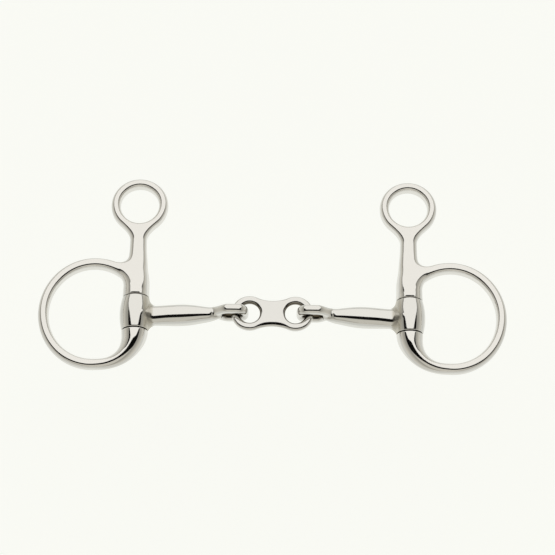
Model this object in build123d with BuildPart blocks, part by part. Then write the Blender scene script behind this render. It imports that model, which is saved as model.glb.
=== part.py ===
from build123d import *
import math
import os

# Hanging-cheek (Baucher) snaffle with a French-link mouthpiece, laid flat.
# +X runs along the mouthpiece, +Y toward the hanging eyes, +Z out of the plane
# of the cheeks. The origin is the centre of the link. Lengths in millimetres.
# The left pieces (-X) are modelled, and the right ones are their mirror images.

# Layout. Cheek coordinates: u = outward from the spindle axis,
# v = up from the middle of the sleeve.
SPINDLE_X = 77.0          # spindle axes either side of the link centre
SLEEVE_Y = -1.5           # middle of the sleeves, just below the link
SLEEVE_LEN = 19.5
SEAM_GAP = 0.25           # between each end of the sleeve and the cheek
SEAM_V = SLEEVE_LEN / 2 + SEAM_GAP

# Spindle
PIN_R = 3.5
PIN_CLEAR = 0.05          # radial clearance in the sleeve
PIN_CHAMFER = 0.5
SOCKET_DEPTH = 6.5        # length of spindle held in each side of the cheek
SOCKET_SPARE = 0.3        # empty depth beyond the spindle end


def cheek_point(u, v):
    """Layout position of a point given in the left cheek's coordinates."""
    return (-SPINDLE_X - u, SLEEVE_Y + v)


# ---------------------------------------------------------------------------
# Cheek: hanging eye, shank and oval rein ring
# ---------------------------------------------------------------------------
CHEEK_DEPTH = 7.4         # thickness of the flat blank along Z
CHEEK_EDGE_R = 2.55       # rounding of its long edges
CHEEK_END_R = 7.5         # round ends facing the seams
FLAT_INSET = 1.0          # the blank stays this far inside the round ends
FLAT_HALF = CHEEK_END_R - FLAT_INSET

EYE_U = -0.2
EYE_V = 66.3
EYE_HOLE_R = 11.0
EYE_OUT_R = 16.25

RING_U = 23.4             # ring centre, level with the sleeve middle
RING_A = 28.3             # half width of the ring centre line
RING_B = 30.3             # half height of the ring centre line
RING_W = 5.8              # width of the ring bar
OPENING_U = FLAT_HALF + 0.1   # straight side of the rein opening
OPENING_CUT = (40.0, 80.0)    # width and height of the block that cuts it
OPENING_CORNER_R = 5.0

NECK_V = 43.0             # narrowest point of the shank
NECK_HALF = 4.75
SHANK_TOP_V = EYE_V - EYE_HOLE_R - 2.0
SHANK_EYE_R = 10.5        # blend of the shank into the eye
SHANK_EYE_MIN_V = NECK_V + 3  # corners of that blend lie above this
NOTCH_R = 4.2             # blend of the ring's top into the shank
NOTCH_MIN_U = 4.0         # corners of that blend lie outward of this
NOTCH_V = (25.5, 36.0)    # and between these heights
SLOT_WIDTH = 24.0         # band cleared between the seams for the sleeve

# Shank outline (u, v), up the outer side and down the inner side
SHANK_OUTLINE = [
    (FLAT_HALF, SEAM_V), (FLAT_HALF, 20.0), (NECK_HALF + 0.3, 25.0),
    (NECK_HALF, NECK_V), (NECK_HALF, SHANK_TOP_V),
    (-NECK_HALF, SHANK_TOP_V), (-NECK_HALF, NECK_V), (-5.45, 31.0),
    (-FLAT_HALF, SEAM_V + 6.0), (-FLAT_HALF, SEAM_V),
]

# Sections of the round swells: centre u, centre v, degrees that the section
# direction turns outward from the spindle axis, half width, half depth (Z)
SWELL_BELOW = [
    (0.00, -SEAM_V, 0.0, CHEEK_END_R, CHEEK_END_R),
    (0.35, -13.8, 9.0, 7.15, 7.30),
    (1.70, -18.2, 25.0, 6.15, 6.60),
    (4.40, -22.8, 41.0, 5.05, 5.85),
    (8.30, -26.5, 55.0, 4.15, 5.05),
    (13.0, -28.9, 68.0, 3.40, 4.20),
    (18.2, -30.1, 79.0, 2.70, 3.35),
]
SWELL_ABOVE = [
    (0.00, SEAM_V, 0.0, CHEEK_END_R, CHEEK_END_R),
    (0.15, 16.0, 0.0, 7.20, 7.00),
    (0.35, 22.0, 0.0, 6.60, 6.00),
    (0.35, 28.0, 0.0, 5.80, 4.85),
    (0.15, 34.0, 0.0, 4.70, 3.90),
    (0.00, 40.0, 0.0, 3.40, 3.05),
]


def cheek_outline():
    """Ring, shank and eye of the flat blank, without their openings."""
    axis_x = cheek_point(0, 0)[0]
    notch_x, notch_low = cheek_point(NOTCH_MIN_U, NOTCH_V[0])
    notch_high = cheek_point(0, NOTCH_V[1])[1]
    eye_blend_low = cheek_point(0, SHANK_EYE_MIN_V)[1]
    with BuildSketch() as outline:
        with Locations(cheek_point(RING_U, 0)):
            Ellipse(RING_A + RING_W / 2, RING_B + RING_W / 2)
        with BuildLine():
            Polyline(*[cheek_point(u, v) for u, v in SHANK_OUTLINE], close=True)
        make_face()
        with Locations(cheek_point(EYE_U, EYE_V)):
            Circle(EYE_OUT_R)
        eye_corners = [p for p in outline.vertices()
                       if abs(abs(p.X - axis_x) - NECK_HALF) < 0.05 and p.Y > eye_blend_low]
        fillet(eye_corners, SHANK_EYE_R)
        notch_corners = [p for p in outline.vertices()
                         if p.X < notch_x and notch_low < p.Y < notch_high]
        fillet(notch_corners, NOTCH_R)
    return outline.sketch


def rein_opening():
    """Inside of the oval ring, with its sleeve side cut straight."""
    with BuildSketch() as opening:
        with Locations(cheek_point(RING_U, 0)):
            Ellipse(RING_A - RING_W / 2, RING_B - RING_W / 2)
        with Locations(cheek_point(OPENING_U - OPENING_CUT[0] / 2, 0)):
            Rectangle(*OPENING_CUT, mode=Mode.SUBTRACT)
        fillet(opening.vertices(), OPENING_CORNER_R)
    return opening.sketch


def build_cheek():
    outline = cheek_outline()
    opening = rein_opening()
    with BuildPart() as cheek:
        with BuildSketch(Plane.XY.offset(-CHEEK_DEPTH / 2)):
            add(outline)
            add(opening, mode=Mode.SUBTRACT)
            with Locations(cheek_point(0, 0)):
                Rectangle(SLOT_WIDTH, 2 * SEAM_V, mode=Mode.SUBTRACT)
            with Locations(cheek_point(EYE_U, EYE_V)):
                Circle(EYE_HOLE_R, mode=Mode.SUBTRACT)
        extrude(amount=CHEEK_DEPTH)
        # round all flat edges except those on the seams
        long_edges = [edge for face in cheek.faces().filter_by(Axis.Z) for edge in face.edges()
                      if abs(abs(edge.center().Y - SLEEVE_Y) - SEAM_V) >= 0.01]
        fillet(long_edges, CHEEK_EDGE_R)
        # round swells, each lofted away from its seam
        for side, sections in ((-1, SWELL_BELOW), (1, SWELL_ABOVE)):
            for u, v, degrees, half_width, half_depth in sections:
                angle = math.radians(degrees)
                along = (-math.sin(angle), side * math.cos(angle), 0)
                with BuildSketch(Plane(origin=(*cheek_point(u, v), 0),
                                       x_dir=(0, 0, 1), z_dir=along)):
                    Ellipse(half_depth, half_width)
            loft()
        # blind sockets for the spindle, cut from a little outside each seam
        overshoot = 1
        for side in (1, -1):
            start = cheek_point(0, side * (SEAM_V - overshoot))
            with BuildSketch(Plane(origin=(*start, 0), z_dir=(0, side, 0))):
                Circle(PIN_R)
            extrude(amount=SOCKET_DEPTH + SOCKET_SPARE + overshoot, mode=Mode.SUBTRACT)
    return cheek.part


# ---------------------------------------------------------------------------
# Spindle: plain pin held in the cheek on both sides of the sleeve
# ---------------------------------------------------------------------------
def build_spindle():
    with BuildPart() as spindle:
        with BuildSketch(Plane(origin=(*cheek_point(0, 0), 0), z_dir=(0, 1, 0))):
            Circle(PIN_R)
        extrude(amount=SEAM_V + SOCKET_DEPTH, both=True)
        chamfer(spindle.edges().filter_by(GeomType.CIRCLE), PIN_CHAMFER)
    return spindle.part


# ---------------------------------------------------------------------------
# Cannon: barrel sleeve, tapering arm and closed loop in one piece
# ---------------------------------------------------------------------------
SLEEVE_END_R = CHEEK_END_R    # flush with the cheek across the seams
SLEEVE_MID_R = 8.8

# Arm, turned about its own slightly tilted axis
ARM_ROOT = 9.0            # distance from the spindle where the arm leaves the sleeve
ARM_ROOT_Y = -2.35        # axis height there
ARM_TIP_Y = -0.85         # axis height at the loop end
# (distance from the spindle axis along the arm, radius)
ARM_PROFILE = [
    (0.0, 5.66), (10.6, 5.66), (16.0, 5.76), (20.0, 5.93), (24.0, 6.05),
    (28.0, 5.97), (32.0, 5.60), (35.5, 5.10), (39.0, 4.50), (41.8, 4.10),
    (44.0, 3.85), (46.0, 3.35), (48.2, 2.30),
]
ARM_LEN = ARM_PROFILE[-1][0]
FLARE_R = 3.0             # blend of the arm into the sleeve
FLARE_SPAN = (4, 12)      # its edge lies between these distances from the spindle
FLARE_MIN_SIZE = 4        # and is larger than this in Y and Z

# Loop, a flat teardrop in the XZ plane; depth is along Z, width along Y
LOOP_Y = 0.3              # middle of the loop, just above the link's
LOOP_WIDTH = 5.4
LOOP_DEPTH = 17.8
LOOP_TAIL_X = -35.4       # narrow end, inside the arm
LOOP_TAIL_HALF = 3.2
LOOP_TIP_X = -13.5
LOOP_TIP_R = 7.0
LOOP_EDGE_R = 1.6
OPEN_X0 = -28.3           # ends of the opening
OPEN_X1 = -17.2
OPEN_DEPTH = 7.4
OPEN_CORNER_R = OPEN_DEPTH / 2 - 0.05
SHOULDER_X = OPEN_X0 + 2.5
SHOULDER_R = 6.0


def build_loop():
    with BuildPart() as loop:
        with BuildSketch(Plane.XZ.offset(-LOOP_Y - LOOP_WIDTH / 2)) as outline:
            with BuildLine():
                Polyline(
                    (LOOP_TAIL_X, -LOOP_TAIL_HALF), (LOOP_TAIL_X, LOOP_TAIL_HALF),
                    (SHOULDER_X, LOOP_DEPTH / 2), (LOOP_TIP_X, LOOP_DEPTH / 2),
                    (LOOP_TIP_X, -LOOP_DEPTH / 2), (SHOULDER_X, -LOOP_DEPTH / 2),
                    close=True,
                )
            make_face()
            shoulders = [p for p in outline.vertices() if abs(p.X - SHOULDER_X) < 0.01]
            fillet(shoulders, SHOULDER_R)
            tips = [p for p in outline.vertices() if abs(p.X - LOOP_TIP_X) < 0.01]
            fillet(tips, LOOP_TIP_R)
            with Locations(((OPEN_X0 + OPEN_X1) / 2, 0)):
                RectangleRounded(OPEN_X1 - OPEN_X0, OPEN_DEPTH, OPEN_CORNER_R,
                                 mode=Mode.SUBTRACT)
        extrude(amount=LOOP_WIDTH)
        # the tail end stays sharp
        loop_edges = [edge for edge in loop.faces().filter_by(Axis.Y).edges()
                      if edge.center().X > LOOP_TAIL_X + 0.5]
        fillet(loop_edges, LOOP_EDGE_R)
    return loop.part


def build_cannon():
    loop = build_loop()
    slope = math.atan2(ARM_TIP_Y - ARM_ROOT_Y, ARM_LEN - ARM_ROOT)
    arm_plane = Plane(
        origin=(-SPINDLE_X, ARM_ROOT_Y - ARM_ROOT * math.tan(slope), 0),
        x_dir=(math.cos(slope), math.sin(slope), 0),
        z_dir=(0, 0, 1),
    )
    sleeve_bottom = cheek_point(-SLEEVE_END_R, -SLEEVE_LEN / 2)
    sleeve_top = cheek_point(-SLEEVE_END_R, SLEEVE_LEN / 2)
    with BuildPart() as cannon:
        # arm
        with BuildSketch(arm_plane):
            with BuildLine():
                Spline(*ARM_PROFILE)
                Polyline(ARM_PROFILE[-1], (ARM_LEN, 0), (0, 0), ARM_PROFILE[0])
            make_face()
        revolve(axis=Axis(arm_plane.origin, arm_plane.x_dir))
        # sleeve
        with BuildSketch(Plane.XY):
            with BuildLine():
                ThreePointArc(sleeve_bottom, cheek_point(-SLEEVE_MID_R, 0), sleeve_top)
                Polyline(sleeve_top, cheek_point(0, SLEEVE_LEN / 2),
                         cheek_point(0, -SLEEVE_LEN / 2), sleeve_bottom)
            make_face()
        revolve(axis=Axis((-SPINDLE_X, 0, 0), (0, 1, 0)))
        add(loop)
        # trumpet flare where the arm leaves the sleeve
        flare = [edge for edge in cannon.edges()
                 if FLARE_SPAN[0] < edge.center().X + SPINDLE_X < FLARE_SPAN[1]
                 and edge.geom_type != GeomType.CIRCLE
                 and edge.bounding_box().size.Z > FLARE_MIN_SIZE
                 and edge.bounding_box().size.Y > FLARE_MIN_SIZE]
        fillet(flare, FLARE_R)
        # bore for the spindle
        with BuildSketch(Plane(origin=(*cheek_point(0, 0), 0), z_dir=(0, 1, 0))):
            Circle(PIN_R + PIN_CLEAR)
        extrude(amount=SLEEVE_LEN, both=True, mode=Mode.SUBTRACT)
    return cannon.part


# ---------------------------------------------------------------------------
# French link: flat waisted plate with two round holes
# ---------------------------------------------------------------------------
LINK_HOLE_X = 12.85
LINK_HOLE_R = 5.8
LINK_LOBE_R = 10.3
LINK_WAIST = 15.4         # width of the plate between the lobes
LINK_WAIST_R = 22.0       # blend of the waist into the lobes
LINK_T = 3.8
LINK_EDGE_R = 1.5         # rounding of the outer edges
LINK_RIM_R = 1.3          # rounding of the hole rims


def is_hole_rim(edge):
    return edge.geom_type == GeomType.CIRCLE and abs(edge.radius - LINK_HOLE_R) < 0.01


def build_link():
    hole_centres = [(-LINK_HOLE_X, 0), (LINK_HOLE_X, 0)]
    with BuildPart() as link:
        with BuildSketch(Plane.XY.offset(-LINK_T / 2)) as outline:
            with Locations(*hole_centres):
                Circle(LINK_LOBE_R)
            Rectangle(2 * LINK_HOLE_X, LINK_WAIST)
            waist = [p for p in outline.vertices()
                     if abs(p.X) < LINK_HOLE_X - 2 and abs(abs(p.Y) - LINK_WAIST / 2) < 0.05]
            fillet(waist, LINK_WAIST_R)
            with Locations(*hole_centres):
                Circle(LINK_HOLE_R, mode=Mode.SUBTRACT)
        extrude(amount=LINK_T)
        # both sets are picked before either fillet changes the faces
        flat_edges = link.faces().filter_by(Axis.Z).edges()
        rims = [edge for edge in flat_edges if is_hole_rim(edge)]
        outer = [edge for edge in flat_edges if not is_hole_rim(edge)]
        fillet(rims, LINK_RIM_R)
        fillet(outer, LINK_EDGE_R)
    return link.part


# ---------------------------------------------------------------------------
# Output
# ---------------------------------------------------------------------------
def mirrored(part):
    with BuildPart() as other_side:
        mirror(part, about=Plane.YZ)
    return other_side.part


def write(part, name):
    part.label = name
    export_step(part, f"parts/{name}.step")


os.makedirs("parts", exist_ok=True)
for piece, build in (("cheek", build_cheek), ("spindle", build_spindle),
                     ("cannon", build_cannon)):
    left = build()
    write(left, f"left_{piece}")
    write(mirrored(left), f"right_{piece}")
write(build_link(), "french_link")
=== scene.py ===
"""Polished steel horse bit with two cheeks, two cannons and a french link, on a pale floor.

The bit lies flat in XY: left is -X, the cheeks' eyes are toward +Y, and Z runs through its
thickness. The link is centred on the origin. Shapes are worked out in millimetres.
"""
import math

import bpy
import numpy as np
from mathutils import Matrix, Vector


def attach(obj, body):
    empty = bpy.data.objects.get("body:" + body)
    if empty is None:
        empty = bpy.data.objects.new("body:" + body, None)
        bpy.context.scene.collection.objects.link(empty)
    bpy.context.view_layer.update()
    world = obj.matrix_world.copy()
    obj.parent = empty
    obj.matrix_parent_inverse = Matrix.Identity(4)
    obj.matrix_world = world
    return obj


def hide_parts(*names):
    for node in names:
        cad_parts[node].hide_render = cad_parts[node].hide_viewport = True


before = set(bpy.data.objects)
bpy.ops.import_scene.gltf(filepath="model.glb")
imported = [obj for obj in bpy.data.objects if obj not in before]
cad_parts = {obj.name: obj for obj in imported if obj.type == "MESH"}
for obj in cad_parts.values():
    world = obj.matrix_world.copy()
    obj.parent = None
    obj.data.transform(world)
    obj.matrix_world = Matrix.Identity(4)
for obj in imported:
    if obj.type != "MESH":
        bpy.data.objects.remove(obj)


def write_size():
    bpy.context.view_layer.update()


write_size()

MM = 0.001
STEP = 0.42     # grid step of the cheeks, mm

SPINDLE_X = 77.0          # spindle axes at +-X
SLEEVE_Y = -1.5           # middle of the sleeves


# ---------------------------------------------------------------------------
# Field tools: every piece is the zero level of a smooth field, negative inside
# ---------------------------------------------------------------------------
def union(a, b, radius):
    """Union with a round fillet."""
    u = np.maximum(radius - a, 0.0)
    v = np.maximum(radius - b, 0.0)
    return np.maximum(radius, np.minimum(a, b)) - np.sqrt(u * u + v * v)


def cut(a, keep, radius):
    """The part of a where keep > 0, with a rounded edge."""
    u = np.maximum(radius + a, 0.0)
    v = np.maximum(radius - keep, 0.0)
    return np.minimum(-radius, np.maximum(a, -keep)) + np.sqrt(u * u + v * v)


def plate(outline, z, shoulder, half_depth, power):
    """About the distance to a plate with this outline distance (negative inside).

    Its faces round off over the shoulder width; power is the squareness of the section.
    """
    x = np.maximum(1.0 + outline / shoulder, 1e-6)
    y = np.maximum(np.abs(z) / half_depth, 1e-6)
    k = (x ** power + y ** power) ** (1.0 / power)
    slope_x = (x / k) ** (power - 1.0) / shoulder
    slope_y = (y / k) ** (power - 1.0) / half_depth
    return (k - 1.0) / np.sqrt(slope_x * slope_x + slope_y * slope_y)


def smooth_step(t, start, end):
    t = np.clip((t - start) / (end - start), 0, 1)
    return t * t * (3 - 2 * t)


def smooth_table(keys, values, t):
    """Values at t along a monotone smooth curve through (keys, values)."""
    keys = np.asarray(keys, float)
    values = np.asarray(values, float)
    rise = np.diff(values) / np.diff(keys)
    slope = np.zeros(len(values))
    slope[0], slope[-1] = rise[0], rise[-1]
    for i in range(1, len(values) - 1):
        if rise[i - 1] * rise[i] > 0:
            w1 = 2 * (keys[i + 1] - keys[i]) + (keys[i] - keys[i - 1])
            w2 = (keys[i + 1] - keys[i]) + 2 * (keys[i] - keys[i - 1])
            slope[i] = (w1 + w2) / (w1 / rise[i - 1] + w2 / rise[i])
    t = np.clip(t, keys[0], keys[-1])
    i = np.clip(np.searchsorted(keys, t, side="right") - 1, 0, len(keys) - 2)
    h = keys[i + 1] - keys[i]
    s = (t - keys[i]) / h
    return ((2 * s ** 3 - 3 * s ** 2 + 1) * values[i]
            + (s ** 3 - 2 * s ** 2 + s) * h * slope[i]
            + (-2 * s ** 3 + 3 * s ** 2) * values[i + 1]
            + (s ** 3 - s ** 2) * h * slope[i + 1])


def spline(keys, values, t):
    """Natural cubic spline."""
    n = len(keys)
    h = np.diff(keys)
    system = np.zeros((n, n))
    right_side = np.zeros(n)
    system[0, 0] = system[-1, -1] = 1
    for i in range(1, n - 1):
        system[i, i - 1:i + 2] = h[i - 1], 2 * (h[i - 1] + h[i]), h[i]
        right_side[i] = 6 * ((values[i + 1] - values[i]) / h[i]
                             - (values[i] - values[i - 1]) / h[i - 1])
    m = np.linalg.solve(system, right_side)
    i = np.clip(np.searchsorted(keys, t, side="right") - 1, 0, n - 2)
    a, b = keys[i + 1] - t, t - keys[i]
    return (m[i] * a ** 3 / (6 * h[i]) + m[i + 1] * b ** 3 / (6 * h[i])
            + (values[i] / h[i] - m[i] * h[i] / 6) * a
            + (values[i + 1] / h[i] - m[i + 1] * h[i] / 6) * b)


def smoothed(samples, reach):
    """Hann average over reach samples each way, the ends held."""
    padded = np.concatenate([np.full(reach, samples[0]), samples, np.full(reach, samples[-1])])
    weights = np.hanning(2 * reach + 1)
    return np.convolve(padded, weights / weights.sum(), "valid")


def sample(samples, place):
    """Linear interpolation at fractional indices."""
    k = np.clip(place.astype(int), 0, len(samples) - 2)
    f = place - k
    return samples[k] * (1 - f) + samples[k + 1] * f


# ---------------------------------------------------------------------------
# Rein ring's bar, from the lower seam round to the shank.
# Cheek coordinates: u outward, v toward the eye, both from the sleeve's middle
# ---------------------------------------------------------------------------
RING_U, RING_A, RING_B = 23.4, 28.23, 30.23        # middle, half axes along u and v
RING_HALF_WIDTH, RING_HALF_DEPTH = 2.95, 3.85
LOWER_BAR = [  # u, v, half width, half depth
    (0.00, -7.0, 7.50, 7.50), (0.00, -10.0, 7.50, 7.50), (0.35, -13.8, 7.10, 7.32),
    (1.70, -18.2, 6.15, 6.38), (4.40, -22.8, 5.00, 5.30), (8.30, -26.5, 4.10, 4.52),
    (13.0, -28.9, 3.45, 4.05), (18.0, -30.0, 3.10, 3.87),
]
BAR_LEAN = [0.0, 0.02, 0.05, 0.07, 0.05, 0.02, 0.0]          # from the third station on
BAR_POWER = [2.0, 1.92, 1.73, 1.57, 1.53, 1.65, 1.98, 2.3, 2.4]   # from the second station on

arc = [(RING_U + RING_A * math.cos(a), RING_B * math.sin(a))
       for a in np.radians(np.linspace(-92.0, 141.0, 120))]
stations = np.array([row[:2] for row in LOWER_BAR] + arc)
half_widths = np.array([row[2] for row in LOWER_BAR] + [RING_HALF_WIDTH] * len(arc))
half_depths = np.array([row[3] for row in LOWER_BAR] + [RING_HALF_DEPTH] * len(arc))
# thicker again where the ring runs into the shank
half_widths[-26:] = RING_HALF_WIDTH + 0.8 * np.linspace(0, 1, 26) ** 2
half_depths[-36:] = RING_HALF_DEPTH + 1.5 * np.linspace(0, 1, 36) ** 2
lengths = np.concatenate([[0], np.cumsum(np.hypot(*np.diff(stations, axis=0).T))])

ALONG = np.linspace(0, lengths[-1], 700)
SPACING = ALONG[1] - ALONG[0]
CENTRE_U = smoothed(spline(lengths, stations[:, 0], ALONG), 12)
CENTRE_V = smoothed(spline(lengths, stations[:, 1], ALONG), 12)
TANGENT_U = np.gradient(CENTRE_U, SPACING)
TANGENT_V = np.gradient(CENTRE_V, SPACING)


def along_bar(keys, values):
    return smoothed(smooth_table(keys, values, ALONG), 16)


HALF_WIDTH = along_bar(lengths, half_widths)
HALF_DEPTH = along_bar(lengths, half_depths)
LEAN = along_bar(lengths[2:9], BAR_LEAN)          # makes the bar's outer side shallower
POWER = along_bar(lengths[1:10], BAR_POWER)
POWER[-220:] += 0.35 * np.sin(np.linspace(0, math.pi / 2, 220)) ** 2


def ring_plan(u, v):
    """Rows: outline distance in plan, signed side (+ toward the ring's middle),
    half width, half depth and squareness of the bar."""
    out = np.empty((5, len(u)))
    last = len(ALONG) - 1
    chunk, stride = 20000, 6
    for start in range(0, len(u), chunk):
        part = slice(start, start + chunk)
        pu, pv = u[part], v[part]

        def offset_and_tangent(place):
            return (pu - sample(CENTRE_U, place), pv - sample(CENTRE_V, place),
                    sample(TANGENT_U, place), sample(TANGENT_V, place))

        dist2 = ((pu[:, None] - CENTRE_U[::stride]) ** 2
                 + (pv[:, None] - CENTRE_V[::stride]) ** 2)
        place = np.clip(dist2.argmin(1) * stride, 1, last - 1).astype(float)
        for _ in range(4):
            du, dv, tu, tv = offset_and_tangent(place)
            move = 0.85 * (du * tu + dv * tv) / (tu * tu + tv * tv) / SPACING
            place = np.clip(place + move, 0, last)
        du, dv, tu, tv = offset_and_tangent(place)
        size = np.hypot(tu, tv)
        side = (du * -tv + dv * tu) / size
        past_end = np.where((place <= 0) | (place >= last), (du * tu + dv * tv) / size, 0.0)
        width = sample(HALF_WIDTH, place)
        lean = sample(LEAN, place)
        out[0, part] = np.sqrt(side * side + past_end * past_end) - width
        out[1, part] = side
        out[2, part] = width
        out[3, part] = (sample(HALF_DEPTH, place)
                        * (1.0 + lean * np.clip(side / width, -1.2, 1.2)))
        out[4, part] = sample(POWER, place)
    return out


# ---------------------------------------------------------------------------
# Cheek
# ---------------------------------------------------------------------------
SEAM = 10.0               # cheek faces above and below the sleeve's middle
GAP_HALF_U = 12.0
SOCKET_R, SOCKET_END = 3.56, 16.9
EYE_U, EYE_V = -0.2, 66.3
EYE_R = 13.59             # centre line of the eye's bar
EYE_HALF_WIDTH = 2.65
SHANK_START, SHANK_END = 6.0, 53.0
NOTCH_FILLET, CORNER_FILLET, EYE_FILLET = 7.5, 2.6, 5.9    # outside, inside the ring; eye
SHANK = [  # v, reach to the mouth side, reach to the ring side, half depth
    (5.0, 7.55, 7.55, 7.36), (10.0, 7.50, 7.50, 7.34), (16.0, 7.20, 7.35, 6.93),
    (22.0, 6.70, 6.95, 6.05), (28.0, 6.10, 6.05, 5.10), (34.0, 5.55, 5.00, 4.45),
    (40.0, 5.08, 4.62, 4.10), (46.0, 4.92, 4.55, 3.92), (52.0, 4.95, 4.60, 3.85),
    (58.0, 5.0, 4.6, 3.8),
]
SHANK_V, SHANK_MOUTH, SHANK_RING, SHANK_DEPTH = zip(*SHANK)


def cheek_field(points):
    """Left cheek, in cheek coordinates."""
    u, v, z = points[:, 0], points[:, 1], points[:, 2]
    ring, side, ring_width, ring_depth, ring_power = ring_plan(u, v)
    mouth = smooth_table(SHANK_V, SHANK_MOUTH, v)
    outer = smooth_table(SHANK_V, SHANK_RING, v)
    shank_width = (mouth + outer) / 2
    shank = np.abs(u - (outer - mouth) / 2) - shank_width
    shank = np.maximum(shank, SHANK_START - v)
    shank = np.maximum(shank, v - SHANK_END)
    eye_radius = np.hypot(u - EYE_U, v - EYE_V)
    eye = np.abs(eye_radius - EYE_R) - EYE_HALF_WIDTH

    t = np.clip(side / 6.0 + 0.5, 0, 1)
    fillet = NOTCH_FILLET + (CORNER_FILLET - NOTCH_FILLET) * t * t * (3 - 2 * t)
    outline = union(shank, ring, fillet)
    outline = union(outline, eye, EYE_FILLET)
    outline = np.maximum(outline, EYE_R - EYE_HALF_WIDTH - eye_radius)

    # depth, shoulder width and squareness carried over between the bars
    pull_r, pull_s, pull_e = (1.0 / (1.0 + np.exp(np.clip(q, -20.0, 20.0) / 1.8)) + 1e-9
                              for q in (ring, shank, eye))
    # the ring's pull fades near the sleeve and on the shank's mouth side
    pull_r = pull_r * np.where(v > 0, (0.05 + 0.95 * smooth_step(v, 13.0, 24.0))
                               * (0.1 + 0.9 * smooth_step(u, -1.0, 6.0)), 1.0)
    total = pull_r + pull_s + pull_e
    shank_depth = smooth_table(SHANK_V, SHANK_DEPTH, v)
    shank_power = 2.0 + 0.4 * np.clip((v - 14.0) / 22.0, 0, 1)
    width = (pull_r * ring_width + pull_s * shank_width + pull_e * EYE_HALF_WIDTH) / total
    # wider shoulders in the corner inside the ring
    width = width * (1.0 + 0.55 * 4.0 * pull_r * pull_s / (total * total)
                     * t * t * (3 - 2 * t))
    depth = (pull_r * ring_depth + pull_s * shank_depth + pull_e * 3.8) / total
    power = (pull_r * ring_power + pull_s * shank_power + pull_e * 2.4) / total
    body = plate(outline, z, width, depth, power)

    # gap for the sleeve, then the blind sockets
    gap = np.minimum(SEAM + np.where(v < 0, 0.16, 0.03) - np.abs(v), GAP_HALF_U - np.abs(u))
    body = cut(body, -gap, 0.45)
    socket = np.maximum(np.hypot(u, z) - SOCKET_R, np.abs(v) - SOCKET_END)
    return cut(body, socket, 0.1)


# ---------------------------------------------------------------------------
# Cannon: barrel sleeve, arm, and the loop that holds the link
# ---------------------------------------------------------------------------
SLEEVE_HALF = 9.75
SLEEVE_END_R, SLEEVE_MID_R = 7.5, 8.8
BORE_R = 3.55
ARM_RADIUS = [  # distance from the spindle along the arm, radius
    (-10.0, 5.66), (0.0, 5.66), (10.6, 5.66), (16.0, 5.76), (20.0, 5.93), (24.0, 6.05),
    (28.0, 5.97), (32.0, 5.60), (35.5, 5.10), (39.0, 4.50), (41.8, 4.10), (44.0, 3.95),
    (46.0, 3.72), (48.2, 3.30), (49.5, 3.00),
]
ARM_FLARE = [  # distance from the spindle along the arm, depth as a share of width
    (0.0, 1.20), (2.0, 1.34), (3.0, 1.40), (3.6, 1.395), (4.4, 1.340), (5.4, 1.255),
    (6.4, 1.165), (7.4, 1.074), (8.4, 0.983), (9.4, 0.892), (9.9, 0.867), (10.5, 0.862),
    (11.5, 0.870), (13.0, 0.89), (15.0, 0.925), (17.5, 0.965), (20.0, 0.99), (24.0, 1.01),
    (32.0, 1.06), (38.0, 1.10), (41.6, 1.11), (42.4, 1.07), (44.4, 0.86), (46.0, 0.80),
    (50.0, 0.80),
]
ROOT_DIST, ROOT_Y = 9.0, -2.35          # two points on the arm's axis
TIP_DIST, TIP_Y = 48.2, -0.85
ARM_ANGLE = math.atan2(TIP_Y - ROOT_Y, TIP_DIST - ROOT_DIST)
ARM_START_Y = ROOT_Y - ROOT_DIST * math.tan(ARM_ANGLE)

LOOP_Y = 0.3
LOOP_HOLE_X = 22.75                     # the hole is a slot along X at -LOOP_HOLE_X
LOOP_HOLE_HALF, LOOP_HOLE_R = 1.85, 3.7
LOOP_START_X = -37.0
NECK_X, SHOULDER_X = -35.5, -25.2
NECK_HALF, SHOULDER_RISE = 3.2, 5.7
LOOP_TIP_X, LOOP_TIP_HALF, LOOP_TIP_R = -20.5, 1.9, 7.0

ARM_GRID = np.arange(-10.0, 50.01, 0.25)


def rounded_table(table):
    """The table on ARM_GRID with its corners averaged out."""
    keys, values = zip(*table)
    weights = np.hanning(13)
    fine = smooth_table(keys, values, np.arange(-12.0, 52.01, 0.25))
    return np.convolve(fine, weights / weights.sum(), "same")[8:-8]


RADIUS_ON_GRID = rounded_table(ARM_RADIUS)
FLARE_ON_GRID = rounded_table(ARM_FLARE)


def sleeve_field(radius, v):
    """Barrel with an arc for its side."""
    bulge = SLEEVE_MID_R - SLEEVE_END_R
    arc_r = (bulge * bulge + SLEEVE_HALF * SLEEVE_HALF) / (2 * bulge)
    return np.hypot(radius - (SLEEVE_MID_R - arc_r), v) - arc_r


def arm_field(x, y, z):
    dx, dy = x + SPINDLE_X, y - ARM_START_Y
    along = dx * math.cos(ARM_ANGLE) + dy * math.sin(ARM_ANGLE)
    off = -dx * math.sin(ARM_ANGLE) + dy * math.cos(ARM_ANGLE)
    axis_y = ARM_START_Y + dx * math.tan(ARM_ANGLE)
    off = off - (LOOP_Y - axis_y) * smooth_step(x, -36.3, -27.6)
    flare = smooth_table(ARM_GRID, FLARE_ON_GRID, along)
    arm = np.hypot(off, z / flare) - smooth_table(ARM_GRID, RADIUS_ON_GRID, along)
    arm = arm * (0.5 + 0.5 * flare)
    arm = np.maximum(arm, 2.0 - along)
    return np.maximum(arm, along - 48.6)


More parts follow.
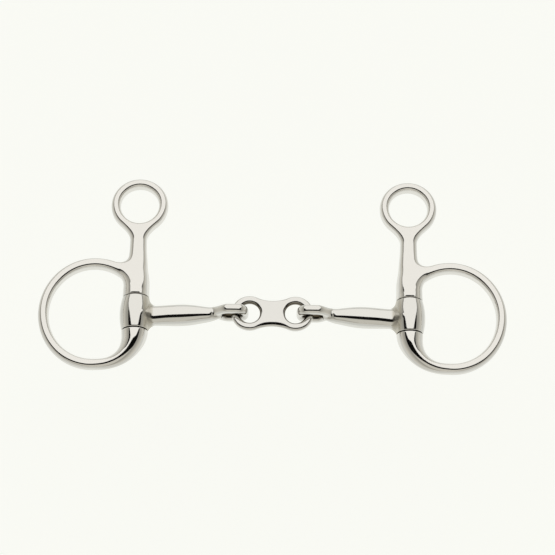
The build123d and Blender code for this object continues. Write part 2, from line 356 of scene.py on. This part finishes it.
def loop_field(x, y, z):
    """Closed teardrop across the link, round at the tip, its shoulders falling to the neck.

    Also returns the distance to its hole.
    """
    height = np.abs(z)
    past_slot = np.maximum(np.abs(x + LOOP_HOLE_X) - LOOP_HOLE_HALF, 0.0)
    hole = np.hypot(past_slot, height) - LOOP_HOLE_R
    top = NECK_HALF + SHOULDER_RISE * smooth_step(x, NECK_X, SHOULDER_X)
    run = SHOULDER_X - NECK_X
    t = np.clip((x - NECK_X) / run, 0, 1)
    slope = SHOULDER_RISE / run * 6.0 * t * (1 - t)
    side = (height - top) / np.sqrt(1.0 + slope * slope)
    tip = np.hypot(x - LOOP_TIP_X, np.maximum(height - LOOP_TIP_HALF, 0.0)) - LOOP_TIP_R
    outline = np.maximum(np.where(x > LOOP_TIP_X, tip, side), -hole)
    width = 1.85 + 0.75 * smooth_step(-x, 15.5, 20.5)
    loop = plate(outline, y - LOOP_Y, width, 2.7, 2.1)
    # fades out into the neck
    loop = loop + 4.0 * (1.0 - smooth_step(x, LOOP_START_X, -33.2))
    return np.maximum(loop, LOOP_START_X - x), hole


def cannon_field(points):
    """Left cannon, in the frame's axes."""
    x, y, z = points[:, 0], points[:, 1], points[:, 2]
    v = y - SLEEVE_Y
    radius = np.hypot(x + SPINDLE_X, z)
    fillet = 3.6 - 3.3 * np.clip(np.abs(z) / 5.4, 0, 1) ** 1.5
    body = union(sleeve_field(radius, v), arm_field(x, y, z), fillet)
    body = cut(body, SLEEVE_HALF - np.where(v < 0, 0.15, 0.03) - np.abs(v), 0.45)
    loop, hole = loop_field(x, y, z)
    body = union(body, loop, 0.6)
    body = np.maximum(body, np.where(np.abs(x + LOOP_HOLE_X) < 6.5, -hole, -99.0))
    return cut(body, radius - BORE_R, 0.2)


# ---------------------------------------------------------------------------
# Link: two pierced lobes and a waist between them
# ---------------------------------------------------------------------------
LOBE_X, LOBE_R, LOBE_HOLE_R = 12.85, 10.3, 5.8
WAIST_HALF, WAIST_R = 7.7, 22.0


def link_field(points):
    x, y, z = np.abs(points[:, 0]), np.abs(points[:, 1]), points[:, 2]
    from_lobe = np.hypot(x - LOBE_X, y)
    # the waist's arc touches the lobe where x is meet_x
    arc_y = WAIST_HALF + WAIST_R
    arc_x = LOBE_X - math.sqrt((WAIST_R + LOBE_R) ** 2 - arc_y ** 2)
    waist = WAIST_R - np.hypot(np.maximum(x - arc_x, 0.0), y - arc_y)
    meet_x = LOBE_X + (arc_x - LOBE_X) * LOBE_R / (WAIST_R + LOBE_R)
    outer = np.where(x < meet_x, waist, from_lobe - LOBE_R)
    outline = np.maximum(outer, LOBE_HOLE_R - from_lobe)
    middle = smooth_step(-x, -10.5, -4.0)
    return plate(outline, z, 2.15 + 2.3 * middle, 1.9, 2.2 - 0.35 * middle)


# ---------------------------------------------------------------------------
# Meshing
# ---------------------------------------------------------------------------
CORNERS = [(i, j, k) for i in (0, 1) for j in (0, 1) for k in (0, 1)]


def gradient(field, points, h=0.02):
    out = np.empty_like(points)
    for axis in range(3):
        moved = points.copy()
        moved[:, axis] += h
        ahead = field(moved)
        moved[:, axis] -= 2 * h
        out[:, axis] = (ahead - field(moved)) / (2 * h)
    return out


def window(size, corner):
    """Slices of a block of this size, starting at one corner of the unit cell."""
    return tuple(slice(c, s + c) for s, c in zip(size, corner))


def grid_values(field, lo, hi, step):
    """The field on a grid, worked out only in the blocks the surface can pass through."""
    block = 4
    n = [int(math.ceil((b - a) / step)) + 1 for a, b in zip(lo, hi)]
    axes = [a + step * np.arange(k) for a, k in zip(lo, n)]
    blocks = [(k - 1) // block + 1 for k in n]
    coarse_axes = [a + step * block * np.arange(k + 1) for a, k in zip(lo, blocks)]
    mesh = np.meshgrid(*coarse_axes, indexing="ij")
    coarse = field(np.stack([q.ravel() for q in mesh], 1)).reshape([k + 1 for k in blocks])
    nearest = np.full(blocks, 1e9)
    inside = np.zeros(blocks, int)
    for corner in CORNERS:
        values = coarse[window(blocks, corner)]
        nearest = np.minimum(nearest, np.abs(values))
        inside += values < 0
    hot = (nearest < 2.2 * block * step) | ((inside > 0) & (inside < 8))
    cube = np.ones((block, block, block), np.uint8)
    cells = [k * block for k in blocks]
    values = np.full([k + 1 for k in cells], 99.0)
    values[:-1, :-1, :-1] = np.kron(np.where(inside >= 4, -1.0, 1.0), cube) * 99.0
    hot_cells = np.kron(hot.astype(np.uint8), cube).astype(bool)
    near = np.zeros(values.shape, bool)
    for corner in CORNERS:
        near[window(cells, corner)] |= hot_cells
    values = values[window(n, (0, 0, 0))].copy()
    i, j, k = np.nonzero(near[window(n, (0, 0, 0))])
    values[i, j, k] = field(np.stack([axes[0][i], axes[1][j], axes[2][k]], 1))
    return values


def surface_nets(field, lo, hi, step):
    """Surface nets on a regular grid: vertices, quads."""
    values = grid_values(field, lo, hi, step)
    n = values.shape
    inside = values < 0
    cells = [k - 1 for k in n]
    count = sum(inside[window(cells, corner)].astype(np.int8) for corner in CORNERS)
    active = (count > 0) & (count < 8)
    index = -np.ones(active.shape, int)
    index[active] = np.arange(active.sum())
    # one vertex per active cell, at the mean of its edge crossings
    i, j, k = np.nonzero(active)
    total = np.zeros((len(i), 3))
    crossings = np.zeros(len(i))
    for a in CORNERS:
        for b in CORNERS:
            if sum(b) - sum(a) == 1 and sum(abs(p - q) for p, q in zip(a, b)) == 1:
                fa = values[i + a[0], j + a[1], k + a[2]]
                fb = values[i + b[0], j + b[1], k + b[2]]
                cross = (fa < 0) != (fb < 0)
                t = np.where(cross, fa / np.where(cross, fa - fb, 1.0), 0.0)
                for m in range(3):
                    total[:, m] += np.where(cross, a[m] + t * (b[m] - a[m]), 0.0)
                crossings += cross
    vertices = total / crossings[:, None] + np.stack([i, j, k], 1)
    vertices = vertices * step + np.array(lo)
    # one quad round each crossed grid edge
    quads = []
    for axis in range(3):
        o1, o2 = [m for m in range(3) if m != axis]
        edge_count = list(n)
        edge_count[axis] -= 1
        unit = np.eye(3, dtype=int)
        starts = inside[window(edge_count, (0, 0, 0))]
        e = np.argwhere(starts != inside[window(edge_count, unit[axis])])
        e = e[(e[:, o1] > 0) & (e[:, o2] > 0) & (e[:, o1] < n[o1] - 1) & (e[:, o2] < n[o2] - 1)]
        d1, d2 = unit[o1], unit[o2]
        quad = np.stack([index[tuple(c.T)] for c in (e - d1 - d2, e - d2, e, e - d1)], 1)
        flip = ~starts[tuple(e.T)]
        if axis == 1:
            flip = ~flip
        quad[flip] = quad[flip][:, ::-1]
        quads.append(quad)
    return vertices, np.concatenate(quads)


def mesh_field(field, lo, hi, step, to_frame=lambda p: p, flip=False):
    """Points in metres, normals and quads; to_frame turns the field's points into frame mm."""
    points, quads = surface_nets(field, lo, hi, step)
    # pull the vertices onto the exact level
    for _ in range(5):
        g = gradient(field, points)
        move = (field(points) / np.maximum((g * g).sum(1), 0.05))[:, None] * g
        length = np.linalg.norm(move, axis=1)
        move *= np.minimum(1.0, 0.5 * step / np.maximum(length, 1e-9))[:, None]
        points = points - move
    g = gradient(field, points)
    normals = g / np.maximum(np.linalg.norm(g, axis=1), 1e-9)[:, None]
    placed = to_frame(points)
    normals = to_frame(points + normals) - placed
    if flip:
        quads = quads[:, ::-1]
    return placed * MM, normals, quads


def add_piece(node, body, surface, material):
    """Make the polished object that stands for a frame node."""
    points, normals, quads = surface
    name = node + "_polished"
    me = bpy.data.meshes.new(name)
    me.vertices.add(len(points))
    me.vertices.foreach_set("co", points.astype(np.float32).ravel())
    me.loops.add(quads.size)
    me.loops.foreach_set("vertex_index", quads.astype(np.int32).ravel())
    me.polygons.add(len(quads))
    me.polygons.foreach_set("loop_start", np.arange(0, quads.size, 4, dtype=np.int32))
    me.update(calc_edges=True)
    me.validate()
    me.polygons.foreach_set("use_smooth", np.ones(len(me.polygons), bool))
    me.normals_split_custom_set_from_vertices([tuple(n) for n in normals])
    me.update()
    ob = bpy.data.objects.new(name, me)
    bpy.context.scene.collection.objects.link(ob)
    ob.data.materials.append(material)
    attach(ob, body)
    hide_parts(node)


def add_pair(part, body, surface, material):
    """The left piece and its mirror image in X."""
    points, normals, quads = surface
    mirror = np.array([-1.0, 1.0, 1.0])
    add_piece("left_" + part, "left_" + body, surface, material)
    add_piece("right_" + part, "right_" + body,
              (points * mirror, normals * mirror, quads[:, ::-1]), material)


# ---------------------------------------------------------------------------
# Node tools: a value may be a number, an RGB tuple or a socket to link
# ---------------------------------------------------------------------------
def feed(tree, socket, value):
    if isinstance(value, bpy.types.NodeSocket):
        tree.links.new(value, socket)
    else:
        socket.default_value = (*value, 1) if isinstance(value, tuple) else value


def calc(tree, operation, *values):
    node = tree.nodes.new("ShaderNodeMath")
    node.operation = operation
    for socket, value in zip(node.inputs, values):
        feed(tree, socket, value)
    return node.outputs[0]


def map_range(tree, value, source, result=(0.0, 1.0), kind="LINEAR"):
    node = tree.nodes.new("ShaderNodeMapRange")
    node.interpolation_type = kind
    node.inputs["From Min"].default_value, node.inputs["From Max"].default_value = source
    node.inputs["To Min"].default_value, node.inputs["To Max"].default_value = result
    tree.links.new(value, node.inputs["Value"])
    return node.outputs["Result"]


def mix_value(tree, factor, a, b):
    node = tree.nodes.new("ShaderNodeMix")
    for i, value in ((0, factor), (2, a), (3, b)):
        feed(tree, node.inputs[i], value)
    return node.outputs[0]


def mix_color(tree, factor, a, b, blend="MIX"):
    node = tree.nodes.new("ShaderNodeMix")
    node.data_type = "RGBA"
    node.blend_type = blend
    for i, value in ((0, factor), (6, a), (7, b)):
        feed(tree, node.inputs[i], value)
    return node.outputs[2]


def new_material(name):
    material = bpy.data.materials.new(name)
    material.use_nodes = True
    tree = material.node_tree
    return material, tree, tree.nodes["Principled BSDF"].inputs


# ---------------------------------------------------------------------------
# Steel
# ---------------------------------------------------------------------------
def add_painted_hole_shade(tree, coords, shade, centre, half_length, start, end, axis, tone):
    """Painted shade on the walls of a slot along X at +-centre, by distance from its axis.

    axis is the other coordinate that distance is measured in: 1 for Y, 2 for Z.
    """
    xyz = tree.nodes.new("ShaderNodeSeparateXYZ")
    tree.links.new(coords, xyz.inputs[0])
    across = xyz.outputs[axis]
    off = calc(tree, "ABSOLUTE", xyz.outputs[0])
    off = calc(tree, "ABSOLUTE", calc(tree, "SUBTRACT", off, centre))
    off = calc(tree, "MAXIMUM", calc(tree, "SUBTRACT", off, half_length), 0.0)
    off2 = calc(tree, "MULTIPLY", off, off)
    across2 = calc(tree, "MULTIPLY", across, across)
    dist = calc(tree, "SQRT", calc(tree, "ADD", off2, across2))
    # painted shade: the colour is darkened toward tone near the slot's axis, on the hole's
    # walls
    unshaded = map_range(tree, dist, (start, end), kind="SMOOTHSTEP")
    return mix_color(tree, unshaded, tone, shade)


def add_painted_shade_band(tree, coords, shade, rough, near, far, soft, tone, dull):
    """Band between near and far in |X|, where the arm grows out of the sleeve: rougher there,
    with its colour darkened toward tone as painted shade.
    """
    xyz = tree.nodes.new("ShaderNodeSeparateXYZ")
    tree.links.new(coords, xyz.inputs[0])
    away = calc(tree, "ABSOLUTE", xyz.outputs[0])
    rise = map_range(tree, away, (near, near + soft), kind="SMOOTHSTEP")
    fall = map_range(tree, away, (far, far + soft), (1.0, 0.0), kind="SMOOTHSTEP")
    shade_band = calc(tree, "MULTIPLY", rise, fall)
    # painted shade: the colour is multiplied by tone inside the band; the roughness also rises
    # there
    return (mix_color(tree, shade_band, shade, tone, blend="MULTIPLY"),
            mix_value(tree, shade_band, rough, dull))


def steel(name, color, roughness, grain, hole_shade=None, shade_band=None):
    """Steel with fine grain, painted shade in its cavities (the colour darkened by ambient
    occlusion), and optionally painted shade in a hole and in a band; the last two arguments are
    those functions' settings.
    """
    material, tree, surface = new_material(name)
    surface["Metallic"].default_value = 1.0
    surface["Roughness"].default_value = roughness
    coords = tree.nodes.new("ShaderNodeTexCoord").outputs["Object"]
    noise = tree.nodes.new("ShaderNodeTexNoise")
    noise.inputs["Scale"].default_value = grain
    noise.inputs["Detail"].default_value = 3.0
    tree.links.new(coords, noise.inputs["Vector"])
    speckle = noise.outputs["Fac"]
    rough = map_range(tree, speckle, (0.35, 0.65), (roughness * 0.8, roughness * 1.25))
    shade = mix_color(tree, speckle, tuple(c * 0.985 for c in color), color)
    # painted shade: ambient occlusion darkens the colour toward a brown tint in cavities, holes
    # and seams
    cavity = tree.nodes.new("ShaderNodeAmbientOcclusion")
    cavity.samples = 4
    cavity.inputs["Distance"].default_value = 0.0045
    openness = map_range(tree, cavity.outputs["AO"], (0.12, 0.62))
    painted_shade_tint = (0.16, 0.135, 0.10)
    painted_shade_color = tuple(c * t for c, t in zip(color, painted_shade_tint))
    shade = mix_color(tree, openness, painted_shade_color, shade)
    if hole_shade:
        shade = add_painted_hole_shade(tree, coords, shade, **hole_shade)
    if shade_band:
        shade, rough = add_painted_shade_band(tree, coords, shade, rough, **shade_band)
    tree.links.new(shade, surface["Base Color"])
    tree.links.new(rough, surface["Roughness"])
    return material


CHEEK_STEEL = steel("polished_steel", color=(0.92, 0.905, 0.875), roughness=0.07, grain=260.0)
CANNON_STEEL = steel(
    "polished_mouthpiece", color=(0.88, 0.87, 0.84), roughness=0.07, grain=260.0,
    # painted shade inside the loop's hole
    hole_shade=dict(centre=LOOP_HOLE_X * MM, half_length=LOOP_HOLE_HALF * MM,
              start=0.00385, end=0.0045, axis=2, tone=(0.10, 0.085, 0.06)),
    # painted shade band, with higher roughness, where the arm grows out of the sleeve
    shade_band=dict(near=0.0664, far=0.0712, soft=0.0014, tone=(0.76, 0.735, 0.68), dull=0.22))
LINK_STEEL = steel(
    "polished_link", color=(0.88, 0.87, 0.845), roughness=0.09, grain=240.0,
    # painted shade inside the link's holes
    hole_shade=dict(centre=LOBE_X * MM, half_length=0.0,
              start=0.0062, end=0.0070, axis=1, tone=(0.20, 0.18, 0.145)))
PIN_STEEL = steel("turned_pin", color=(0.6, 0.6, 0.59), roughness=0.3, grain=400.0)

# ---------------------------------------------------------------------------
# Pieces
# ---------------------------------------------------------------------------


def cheek_to_frame(p):
    return np.stack([-SPINDLE_X - p[:, 0], SLEEVE_Y + p[:, 1], p[:, 2]], 1)


add_pair("cheek", "side",
         mesh_field(cheek_field, lo=(-18.5, -35.0, -8.6), hi=(56.0, 84.0, 8.6), step=STEP,
                    to_frame=cheek_to_frame, flip=True), CHEEK_STEEL)
add_pair("cannon", "arm",
         mesh_field(cannon_field, lo=(-87.0, -12.5, -9.6), hi=(-12.0, 10.5, 9.6),
                    step=STEP * 0.85), CANNON_STEEL)
add_piece("french_link", "link",
          mesh_field(link_field, lo=(-24.0, -11.0, -2.6), hi=(24.0, 11.0, 2.6),
                     step=STEP * 0.75), LINK_STEEL)

for node_name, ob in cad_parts.items():
    ob.data.materials.clear()
    ob.data.materials.append(PIN_STEEL if "spindle" in node_name else CHEEK_STEEL)

# ---------------------------------------------------------------------------
# Floor
# ---------------------------------------------------------------------------
FLOOR_Z = -0.11
GLOW_SEEN = 0.87                      # emission the camera sees
GLOW_NEAR, GLOW_FAR = 0.72, 0.52      # emission the steel sees, under the bit and away
GLOW_FALL = (0.13, 0.34)              # distances where that change starts and ends


def add_floor():
    bpy.ops.mesh.primitive_plane_add(size=4.0, location=(0, 0, FLOOR_Z))
    floor = bpy.context.object
    floor.name = "floor"
    material, tree, surface = new_material("pale_sweep")
    surface["Base Color"].default_value = (0.22, 0.222, 0.215, 1)
    surface["Emission Color"].default_value = (0.965, 0.973, 0.925, 1)
    surface["Emission Strength"].default_value = GLOW_SEEN
    surface["Roughness"].default_value = 0.9
    surface["Specular IOR Level"].default_value = 0.0
    geometry = tree.nodes.new("ShaderNodeNewGeometry")
    dist = tree.nodes.new("ShaderNodeVectorMath")
    dist.operation = "DISTANCE"
    dist.inputs[1].default_value = (0, 0.04, FLOOR_Z)
    tree.links.new(geometry.outputs["Position"], dist.inputs[0])
    fall = map_range(tree, dist.outputs["Value"], GLOW_FALL, (GLOW_NEAR, GLOW_FAR),
                     kind="SMOOTHSTEP")
    path = tree.nodes.new("ShaderNodeLightPath")
    glow = mix_value(tree, path.outputs["Is Camera Ray"], fall, GLOW_SEEN)
    tree.links.new(glow, surface["Emission Strength"])
    floor.data.materials.append(material)


add_floor()

# ---------------------------------------------------------------------------
# World: one big oval diffuser leaning at 45 degrees over the table, in a warm room
# ---------------------------------------------------------------------------
LAMP_EDGE = [  # place up the diffuser's own plane, half width there
    (-1.6, 0.10), (-1.0, 0.38), (-0.77, 0.56), (-0.42, 0.77), (-0.20, 0.93), (-0.02, 1.03),
    (0.19, 0.99), (0.42, 0.88), (0.70, 0.83), (0.95, 0.82), (1.19, 0.84), (1.31, 0.72),
    (1.40, 0.50), (1.45, -0.08), (1.9, -0.08),
]
PLANE_SHIFT, PLANE_SPAN = 2.0, 4.0    # fit places on the plane into a ramp's 0..1
EDGE_SHIFT, EDGE_SPAN = 0.1, 2.2      # fit half widths into a ramp's 0..1
LAMP_OFF_CENTRE = 0.04
BLACK, WHITE = (0, 0, 0), (1, 1, 1)


def warm(level):
    return tuple(level * t for t in (1.0, 0.97, 0.865))


def cloth(level):
    return tuple(level * t for t in (1.0, 0.985, 0.94))


def add_world():
    world = bpy.data.worlds.new("studio")
    bpy.context.scene.world = world
    world.use_nodes = True
    tree = world.node_tree
    tree.nodes.clear()

    def op(operation, *values):
        return calc(tree, operation, *values)

    def ramp(factor, stops):
        node = tree.nodes.new("ShaderNodeValToRGB")
        node.color_ramp.interpolation = "LINEAR"
        elements = node.color_ramp.elements
        while len(elements) > 1:
            elements.remove(elements[-1])
        elements[0].position = stops[0][0]
        elements[0].color = (*stops[0][1], 1)
        for position, color in stops[1:]:
            element = elements.new(position)
            element.color = (*color, 1)
        tree.links.new(factor, node.inputs[0])
        return node.outputs[0]

    def angle_ramp(angle, stops):
        """Ramp with its stops in degrees."""
        turn = op("ADD", op("DIVIDE", angle, 2 * math.pi), 0.5)
        return ramp(turn, [(degrees / 360.0 + 0.5, color) for degrees, color in stops])

    out = tree.nodes.new("ShaderNodeOutputWorld")
    light = tree.nodes.new("ShaderNodeBackground")
    coords = tree.nodes.new("ShaderNodeTexCoord")
    xyz = tree.nodes.new("ShaderNodeSeparateXYZ")
    tree.links.new(coords.outputs["Generated"], xyz.inputs[0])
    x, y, z = xyz.outputs

    # angles from the zenith; fore-aft is + toward the eyes
    sideways = op("ABSOLUTE", op("ARCTAN2", x, z))
    fore_aft = op("ARCTAN2", y, z)

    # direction as a place (across, up) on the diffuser's plane
    facing = op("MAXIMUM", op("MULTIPLY", op("ADD", y, z), 0.7071), 0.02)
    rise = op("MULTIPLY", op("SUBTRACT", z, y), 0.7071)
    across = op("ABSOLUTE", op("SUBTRACT", op("DIVIDE", x, facing), LAMP_OFF_CENTRE))
    up = op("DIVIDE", rise, facing)
    edge = ramp(op("DIVIDE", op("ADD", up, PLANE_SHIFT), PLANE_SPAN),
                [((place + PLANE_SHIFT) / PLANE_SPAN, ((half + EDGE_SHIFT) / EDGE_SPAN,) * 3)
                 for place, half in LAMP_EDGE])
    past_edge = op("ADD", op("SUBTRACT", across, op("MULTIPLY", edge, EDGE_SPAN)), EDGE_SHIFT)
    outside = ramp(op("ADD", past_edge, 0.5), [(0.485, BLACK), (0.515, WHITE)])
    lamp = ramp(op("DIVIDE", op("ADD", up, PLANE_SHIFT), PLANE_SPAN),
                [(0.20, cloth(0.86)), (0.35, cloth(0.90)), (0.8, cloth(0.905))])
    rim = ramp(op("ADD", past_edge, 0.5), [(0.50, WHITE), (0.58, WHITE), (0.62, BLACK)])

    # warm room, nearly black overhead and dark round the diffuser's rim
    sides = angle_ramp(sideways, [
        (0, warm(0.58)), (48, warm(0.56)), (52, warm(0.335)), (61, warm(0.345)),
        (74, warm(0.48)), (90, warm(0.62)), (115, warm(0.70))])
    hood_x = angle_ramp(sideways, [(49.0, WHITE), (50.5, BLACK)])
    hood_y = angle_ramp(fore_aft, [(-43.0, BLACK), (-41.5, WHITE), (75, WHITE), (85, BLACK)])
    room = mix_color(tree, op("MULTIPLY", hood_x, hood_y), sides, warm(0.004))
    room = mix_color(tree, op("MULTIPLY", rim, 0.9), room, warm(0.02))
    tree.links.new(mix_color(tree, outside, lamp, room), light.inputs[0])
    light.inputs[1].default_value = 1.0

    # the camera sees a plain pale backdrop instead of the lamp
    plain = tree.nodes.new("ShaderNodeBackground")
    plain.inputs[0].default_value = (0.93, 0.935, 0.90, 1)
    path = tree.nodes.new("ShaderNodeLightPath")
    pick = tree.nodes.new("ShaderNodeMixShader")
    tree.links.new(path.outputs["Is Camera Ray"], pick.inputs[0])
    tree.links.new(light.outputs[0], pick.inputs[1])
    tree.links.new(plain.outputs[0], pick.inputs[2])
    tree.links.new(pick.outputs[0], out.inputs[0])


add_world()

# ---------------------------------------------------------------------------
# Camera: off the zenith toward -Y, with a touch of roll
# ---------------------------------------------------------------------------
TILT = math.radians(22.0)
ROLL = math.radians(0.78)
DISTANCE = 1200.0         # mm
VIEW_WIDTH = 313.9635     # mm across the picture at the target
SENSOR_WIDTH = 36.0
TARGET = Vector((2.54, 21.98, 0.0)) * MM


def add_camera():
    data = bpy.data.cameras.new("camera")
    camera = bpy.data.objects.new("camera", data)
    bpy.context.scene.collection.objects.link(camera)
    back = Vector((0, -math.sin(TILT), math.cos(TILT)))
    right = Vector((1, 0, 0))
    up = back.cross(right)
    rolled_right = right * math.cos(ROLL) + up * math.sin(ROLL)
    rolled_up = -right * math.sin(ROLL) + up * math.cos(ROLL)
    matrix = Matrix((rolled_right, rolled_up, back)).transposed().to_4x4()
    matrix.translation = TARGET + back * DISTANCE * MM
    camera.matrix_world = matrix
    data.sensor_fit = "HORIZONTAL"
    data.sensor_width = SENSOR_WIDTH
    data.lens = SENSOR_WIDTH * DISTANCE / VIEW_WIDTH
    data.clip_start = 0.01
    data.clip_end = 20.0
    bpy.context.scene.camera = camera


add_camera()
bpy.context.scene.view_settings.view_transform = "Standard"

write_size()
